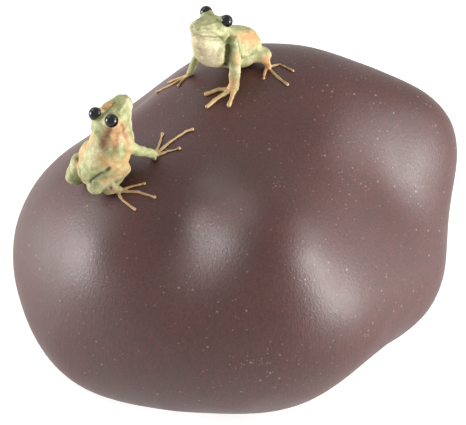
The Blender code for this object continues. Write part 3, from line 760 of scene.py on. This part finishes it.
def purple_clay(settings):
    """Purple clay, built up into a boulder by hand, burnished with a spatula, fired and fed with tea.

    The iron in it fires to a dark purplish brown with pale and black grains. The spatula leaves fine
    upright waves, and the tea gives the whole a soft satin sheen.
    """
    material, shader = new_material("tea-polished purple clay", settings.clay_colour, settings.sheen)
    shader.inputs["Specular IOR Level"].default_value = settings.tea_polish
    tree = material.node_tree
    place = add_node(tree, "TexCoord").outputs["Object"]

    # It fired redder in patches, which are a little rougher too
    mottle = patches(tree, place, settings.mottle, PATCH_DETAIL)
    colour = blend(tree, mottle, (*settings.clay_colour, 1), (*settings.warm_colour, 1))
    roughness = stretch(tree, mottle, MOST_OF_NOISE, [settings.sheen + more for more in RUBBED])

    # The real grains are 0.05 to 0.3 mm across, and are drawn coarser, at 0.1 to 0.4 mm, to be seen at all
    fine = patches(tree, place, settings.grain, FINE_DETAIL)
    colour = toned(tree, colour, stretch(tree, fine, MOST_OF_NOISE, GRAIN_TONES))

    # The spatula's strokes run upright: narrow across, long in height
    upright = add_node(tree, "Mapping", {"Vector": place, "Scale": (1, 1, STROKE_WIDTH / STROKE_LENGTH)})
    strokes = patches(tree, upright.outputs["Vector"], STROKE_WIDTH, FINE_DETAIL, STROKE_SWAY)
    colour = toned(tree, colour, stretch(tree, strokes, MIDDLE_OF_NOISE, STROKE_TONES))

    # Larger pale and dark grains lie here and there, thicker where the surface is marked for it
    grains = (("flecked", settings.fleck_size, settings.fleck_share, settings.fleck_colour),
              ("pitted", settings.speck_size, settings.speck_share, settings.speck_colour))
    for mark, size, share, tint in grains:
        for finer, more in ((1, 1), (FINER, MORE)):
            cells = add_node(tree, "TexVoronoi", {"Vector": place, "Scale": 1 / (size * finer)})
            chance = add_node(tree, "SeparateColor", {"Color": cells.outputs["Color"]})
            extra = add_node(tree, "Attribute", attribute_name=mark)
            wanted = maths(tree, "ADD", extra.outputs["Fac"], share * more)
            chosen = maths(tree, "LESS_THAN", chance.outputs["Red"], wanted)
            near = stretch(tree, cells.outputs["Distance"], SPECK_EDGE)
            colour = blend(tree, maths(tree, "MULTIPLY", chosen, near), colour, (*tint, 1))

    waves = bump(tree, strokes, STROKE_BUMP, STROKE_DEPTH)
    normal = bump(tree, fine, GRAIN_BUMP, GRAIN_DEPTH, Normal=waves)
    tree.links.new(colour, shader.inputs["Base Color"])
    tree.links.new(roughness, shader.inputs["Roughness"])
    tree.links.new(normal, shader.inputs["Normal"])
    return material


def green_clay(settings):
    """Green clay, pinched and carved by hand, washed with coloured slips and fired without a glaze.

    The slips sink in unevenly, so their edges fray, and the bare clay stays matt with a faint grain.
    """
    material, shader = new_material("washed green clay", settings.skin_colour, settings.skin_sheen)
    tree = material.node_tree
    place = add_node(tree, "TexCoord").outputs["Object"]
    mottle = patches(tree, place, settings.skin_mottle, SKIN_DETAIL)
    pale = stretch(tree, mottle, MIDDLE_OF_NOISE)
    colour = blend(tree, pale, (*settings.skin_colour, 1), (*settings.pale_colour, 1))
    frayed = stretch(tree, patches(tree, place, settings.fray, SKIN_DETAIL), MOST_OF_NOISE, WASH_COVER)
    for slip in SLIPS:
        layer = add_node(tree, "Attribute", attribute_name=slip)
        cover = maths(tree, "MULTIPLY", layer.outputs["Fac"], frayed, use_clamp=True)
        colour = blend(tree, cover, colour, (*getattr(settings, slip + "_colour"), 1))
    fine = patches(tree, place, settings.skin_grain, FINE_DETAIL)
    colour = toned(tree, colour, stretch(tree, fine, MOST_OF_NOISE, SKIN_TONES))
    tree.links.new(colour, shader.inputs["Base Color"])
    tree.links.new(bump(tree, fine, SKIN_BUMP, GRAIN_DEPTH), shader.inputs["Normal"])
    return material


def black_glaze():
    """Black glaze on a clay bead, fired glossy: a black eye with the lamps as small bright lights."""
    return new_material("black glaze", linear(GLAZE_COLOUR), GLAZE_ROUGHNESS, GLAZE_IOR)[0]


def white_paper(settings):
    """Matt white paper, smooth as it is laid: it glows a little, so that the eye sees an even white."""
    material, shader = new_material("white paper", settings.floor_colour, PAPER_ROUGHNESS)
    tree = material.node_tree
    shader.inputs["Emission Color"].default_value = WHITE
    glow = maths(tree, "MULTIPLY", seen_rays(tree), settings.floor_glow)
    tree.links.new(glow, shader.inputs["Emission Strength"])
    return material


class StoneSettings(bpy.types.PropertyGroup):
    """Sizes and colours of the boulder."""

    fineness: bpy.props.IntProperty(
        name="Fineness", description="Subdivisions of the outer surface", default=6, min=4, max=7)
    wave: bpy.props.FloatProperty(
        name="Wave", description="Length of the waves left by smoothing the clay by hand",
        default=9 * MM, subtype="DISTANCE", unit="LENGTH")
    unevenness: bpy.props.FloatProperty(
        name="Unevenness", description="Height of those waves", default=0.12 * MM, precision=5,
        subtype="DISTANCE", unit="LENGTH")
    mottle: bpy.props.FloatProperty(
        name="Mottle", description="Size of the patches that fired redder", default=9 * MM,
        subtype="DISTANCE", unit="LENGTH")
    grain: bpy.props.FloatProperty(
        name="Grain", description="Size of the clay's finest grain", default=0.42 * MM, precision=5,
        subtype="DISTANCE", unit="LENGTH")
    fleck_size: bpy.props.FloatProperty(
        name="Fleck spacing", description="Distance between places where a pale grain may lie",
        default=1.1 * MM, precision=5, subtype="DISTANCE", unit="LENGTH")
    fleck_share: bpy.props.FloatProperty(
        name="Flecks kept", description="Share of those places that have a grain", default=0.022,
        min=0, max=1, subtype="FACTOR")
    speck_size: bpy.props.FloatProperty(
        name="Speck spacing", description="Distance between places where a dark grain may lie",
        default=1.3 * MM, precision=5, subtype="DISTANCE", unit="LENGTH")
    speck_share: bpy.props.FloatProperty(
        name="Specks kept", description="Share of those places that have a grain", default=0.025,
        min=0, max=1, subtype="FACTOR")
    tea_polish: bpy.props.FloatProperty(
        name="Tea polish", description="How strongly the tea-fed skin reflects", default=0.6,
        min=0, max=1, subtype="FACTOR")
    sheen: bpy.props.FloatProperty(
        name="Roughness", description="Roughness of the tea-polished clay", default=0.48,
        min=0, max=1, subtype="FACTOR")
    clay_colour: bpy.props.FloatVectorProperty(
        name="Clay", description="The clay's own colour", default=linear("#361611"), subtype="COLOR")
    warm_colour: bpy.props.FloatVectorProperty(
        name="Warm clay", description="Where the clay fired redder", default=linear("#431C17"),
        subtype="COLOR")
    fleck_colour: bpy.props.FloatVectorProperty(
        name="Flecks", description="Pale grains", default=linear("#87695F"), subtype="COLOR")
    speck_colour: bpy.props.FloatVectorProperty(
        name="Specks", description="Dark grains", default=linear("#2C1E1D"), subtype="COLOR")


class FrogSettings(bpy.types.PropertyGroup):
    """Sizes and colours of the frogs."""

    grain: bpy.props.FloatProperty(
        name="Grain", description="Step of the merged skin", default=0.15 * MM, precision=5,
        subtype="DISTANCE", unit="LENGTH")
    softening: bpy.props.IntProperty(
        name="Softening", description="Times that the whole skin is smoothed", default=3)
    body_softening: bpy.props.IntProperty(
        name="Body softening", description="Times that head, trunk and limbs are smoothed", default=14)
    body_height: bpy.props.FloatProperty(
        name="Body height", description="How high off the stone the body softening starts",
        default=1.6 * MM, precision=5, subtype="DISTANCE", unit="LENGTH")
    skin_wave: bpy.props.FloatProperty(
        name="Skin wave", description="Length of the dimples left by pinching", default=1.3 * MM,
        precision=5, subtype="DISTANCE", unit="LENGTH")
    skin_depth: bpy.props.FloatProperty(
        name="Skin depth", description="Height of those dimples", default=0.16 * MM, precision=5,
        subtype="DISTANCE", unit="LENGTH")
    skin_mottle: bpy.props.FloatProperty(
        name="Skin mottle", description="Size of the paler patches", default=1.8 * MM, precision=5,
        subtype="DISTANCE", unit="LENGTH")
    fray: bpy.props.FloatProperty(
        name="Fray", description="Size of the fraying at the washes' edges", default=0.7 * MM,
        precision=5, subtype="DISTANCE", unit="LENGTH")
    skin_grain: bpy.props.FloatProperty(
        name="Skin grain", description="Size of the green clay's grain", default=0.3 * MM, precision=5,
        subtype="DISTANCE", unit="LENGTH")
    skin_sheen: bpy.props.FloatProperty(
        name="Roughness", description="Roughness of the green clay", default=0.6, min=0, max=1,
        subtype="FACTOR")
    skin_colour: bpy.props.FloatVectorProperty(
        name="Skin", description="Green of the back", default=linear("#868A5A"), subtype="COLOR")
    pale_colour: bpy.props.FloatVectorProperty(
        name="Pale skin", description="Where the green wears thin", default=linear("#B2B180"),
        subtype="COLOR")
    orange_colour: bpy.props.FloatVectorProperty(
        name="Orange wash", description="Stripes and patches", default=linear("#CF9662"),
        subtype="COLOR")
    brown_colour: bpy.props.FloatVectorProperty(
        name="Brown wash", description="Darker patches", default=linear("#8C4A38"),
        subtype="COLOR")
    cream_colour: bpy.props.FloatVectorProperty(
        name="Cream wash", description="Throat and belly", default=linear("#D6C5A4"), subtype="COLOR")
    tan_colour: bpy.props.FloatVectorProperty(
        name="Tan wash", description="Toes and fingers", default=linear("#C89A6E"), subtype="COLOR")
    # Painted shade: the dark green laid in the creases, the grooves and where parts meet
    shade_and_moss_colour: bpy.props.FloatVectorProperty(
        name="Moss wash", description="Dark green in the creases", default=linear("#4E4C30"),
        subtype="COLOR")


class StudioSettings(bpy.types.PropertyGroup):
    """The studio that the tea pet is photographed in."""

    floor_size: bpy.props.FloatProperty(
        name="Floor", description="Side of the floor", default=1.2, subtype="DISTANCE", unit="LENGTH")
    lamp_distance: bpy.props.FloatProperty(
        name="Lamp distance", description="From the boulder to each softbox", default=0.7,
        subtype="DISTANCE", unit="LENGTH")
    lamp_power: bpy.props.FloatProperty(
        name="Lamp power", description="Watts of a softbox whose share is 1", default=6.3)
    room_light: bpy.props.FloatProperty(
        name="Room light", description="How brightly the room lights the pieces", default=0.26)
    floor_colour: bpy.props.FloatVectorProperty(
        name="Floor colour", description="Pale paper", default=linear("#E6E6E4"), subtype="COLOR")
    floor_glow: bpy.props.FloatProperty(
        name="Floor glow", description="What lifts the floor to white for the camera", default=0.5)


class TEAPET_OT_stone(bpy.types.Operator):
    """Model the hollow boulder and give it its clay"""

    bl_idname = "teapet.stone"
    bl_label = "Boulder"

    def execute(self, context):
        settings = context.scene.teapet_stone
        outside = shell(settings.fineness, 0, settings.wave, settings.unevenness)
        stone = make_piece("boulder", outside, purple_clay(settings))
        cut(stone, make_piece("boulder_hollow", shell(HOLLOW_FINENESS, STONE_WALL)))
        bm = bmesh.new()
        bmesh.ops.create_cone(bm, cap_ends=True, segments=RING_SIDES, radius1=VENT_RADIUS,
                              radius2=VENT_RADIUS, depth=VENT_LENGTH,
                              matrix=Matrix.Translation(VENT_CENTRE))
        cut(stone, make_piece("boulder_vent", bm))
        mark_stone(stone.data)
        stand_for(stone, "stone")
        return {"FINISHED"}


class TEAPET_OT_frogs(bpy.types.Operator):
    """Model the two frogs as one skin each and give them their clay and washes"""

    bl_idname = "teapet.frogs"
    bl_label = "Frogs"

    def execute(self, context):
        settings = context.scene.teapet_frogs
        clay = green_clay(settings)
        tree = stone_tree()
        for name, frog in FROGS.items():
            skin = make_piece(name + "_skin", frog_shapes(tree, frog), clay)
            merge = skin.modifiers.new("merge", "REMESH")
            merge.mode = "VOXEL"
            merge.voxel_size = settings.grain
            soften = skin.modifiers.new("soften", "SMOOTH")
            soften.factor = SMOOTHING
            soften.iterations = settings.softening
            apply_modifiers(skin)
            soften_body(skin.data, settings.body_height, settings.body_softening)
            creases = carve(skin.data, tree, frog, settings)
            rest_on_stone(skin.data, FROG_SINK)
            paint_washes(skin.data, tree, frog, creases)
            stand_for(skin, name)
        return {"FINISHED"}


class TEAPET_OT_eyes(bpy.types.Operator):
    """Model the four glazed eye beads"""

    bl_idname = "teapet.eyes"
    bl_label = "Eyes"

    def execute(self, context):
        glaze = black_glaze()
        tree = stone_tree()
        for name, frog in FROGS.items():
            for side, centre in eye_centres(tree, frog).items():
                bm = bmesh.new()
                ball(bm, centre, frog["eye_radius"] * FROG_STEP)
                bead = make_piece(name + "_" + side + "_bead", bm, glaze)
                stand_for(bead, name + "_" + side + "_eye")
        return {"FINISHED"}


class TEAPET_OT_studio(bpy.types.Operator):
    """Lay the floor, hang the softboxes and set up the camera"""

    bl_idname = "teapet.studio"
    bl_label = "Studio"

    def execute(self, context):
        settings = context.scene.teapet_studio
        scene = context.scene
        bm = bmesh.new()
        bmesh.ops.create_grid(bm, x_segments=1, y_segments=1, size=settings.floor_size / 2)
        floor = make_piece("floor", bm, white_paper(settings))
        for name, (heading, elevation, side, share) in LAMPS.items():
            lamp = bpy.data.lights.new(name, "AREA")
            lamp.shape = "SQUARE"
            lamp.size = side
            lamp.energy = settings.lamp_power * share
            away = direction(heading, elevation) * settings.lamp_distance
            box = bpy.data.objects.new(name, lamp)
            box.location = LAMP_AIM + away
            box.rotation_euler = (-away).to_track_quat("-Z", "Y").to_euler()
            scene.collection.objects.link(box)
        room = bpy.data.worlds.new("white room")
        room.use_nodes = True
        tree = room.node_tree
        background = tree.nodes["Background"]
        background.inputs["Color"].default_value = WHITE
        level = maths(tree, "MAXIMUM", seen_rays(tree), settings.room_light)
        tree.links.new(level, background.inputs["Strength"])
        scene.world = room
        lens = bpy.data.cameras.new("camera")
        lens.lens = CAMERA_LENS
        lens.sensor_width = CAMERA_SENSOR
        lens.clip_start = CAMERA_NEAR
        camera = bpy.data.objects.new("camera", lens)
        camera.location = LOOK_AT + direction(CAMERA_HEADING, CAMERA_ELEVATION) * CAMERA_DISTANCE
        camera.rotation_euler = (math.radians(90 - CAMERA_ELEVATION), 0, 0)
        scene.collection.objects.link(camera)
        scene.camera = camera
        scene.view_settings.view_transform = "Standard"
        return {"FINISHED"}


class TEAPET_PT_sidebar(bpy.types.Panel):
    """The tea pet's pieces and settings"""

    bl_label = "Tea Pet"
    bl_idname = "TEAPET_PT_sidebar"
    bl_space_type = "VIEW_3D"
    bl_region_type = "UI"
    bl_category = "Tea Pet"

    def draw(self, context):
        scene = context.scene
        for settings, operators in PANEL_ROWS.items():
            group = getattr(scene, settings)
            box = self.layout.box()
            for operator in operators:
                box.operator(operator)
            for prop in group.bl_rna.properties:
                if prop.identifier not in ("rna_type", "name"):
                    box.prop(group, prop.identifier)


PANEL_ROWS = {
    "teapet_stone": ("teapet.stone",),
    "teapet_frogs": ("teapet.frogs", "teapet.eyes"),
    "teapet_studio": ("teapet.studio",),
}
CLASSES = (
    StoneSettings,
    FrogSettings,
    StudioSettings,
    TEAPET_OT_stone,
    TEAPET_OT_frogs,
    TEAPET_OT_eyes,
    TEAPET_OT_studio,
    TEAPET_PT_sidebar,
)


def register():
    """Add the classes and the scene's settings."""
    for cls in CLASSES:
        bpy.utils.register_class(cls)
    bpy.types.Scene.teapet_stone = bpy.props.PointerProperty(type=StoneSettings)
    bpy.types.Scene.teapet_frogs = bpy.props.PointerProperty(type=FrogSettings)
    bpy.types.Scene.teapet_studio = bpy.props.PointerProperty(type=StudioSettings)


def unregister():
    """Take them away again."""
    del bpy.types.Scene.teapet_studio
    del bpy.types.Scene.teapet_frogs
    del bpy.types.Scene.teapet_stone
    for cls in reversed(CLASSES):
        bpy.utils.unregister_class(cls)


def main():
    """Build the dressed tea pet."""
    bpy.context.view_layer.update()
    register()
    bpy.ops.teapet.stone()
    bpy.ops.teapet.frogs()
    bpy.ops.teapet.eyes()
    bpy.ops.teapet.studio()


if __name__ == "__main__":
    main()
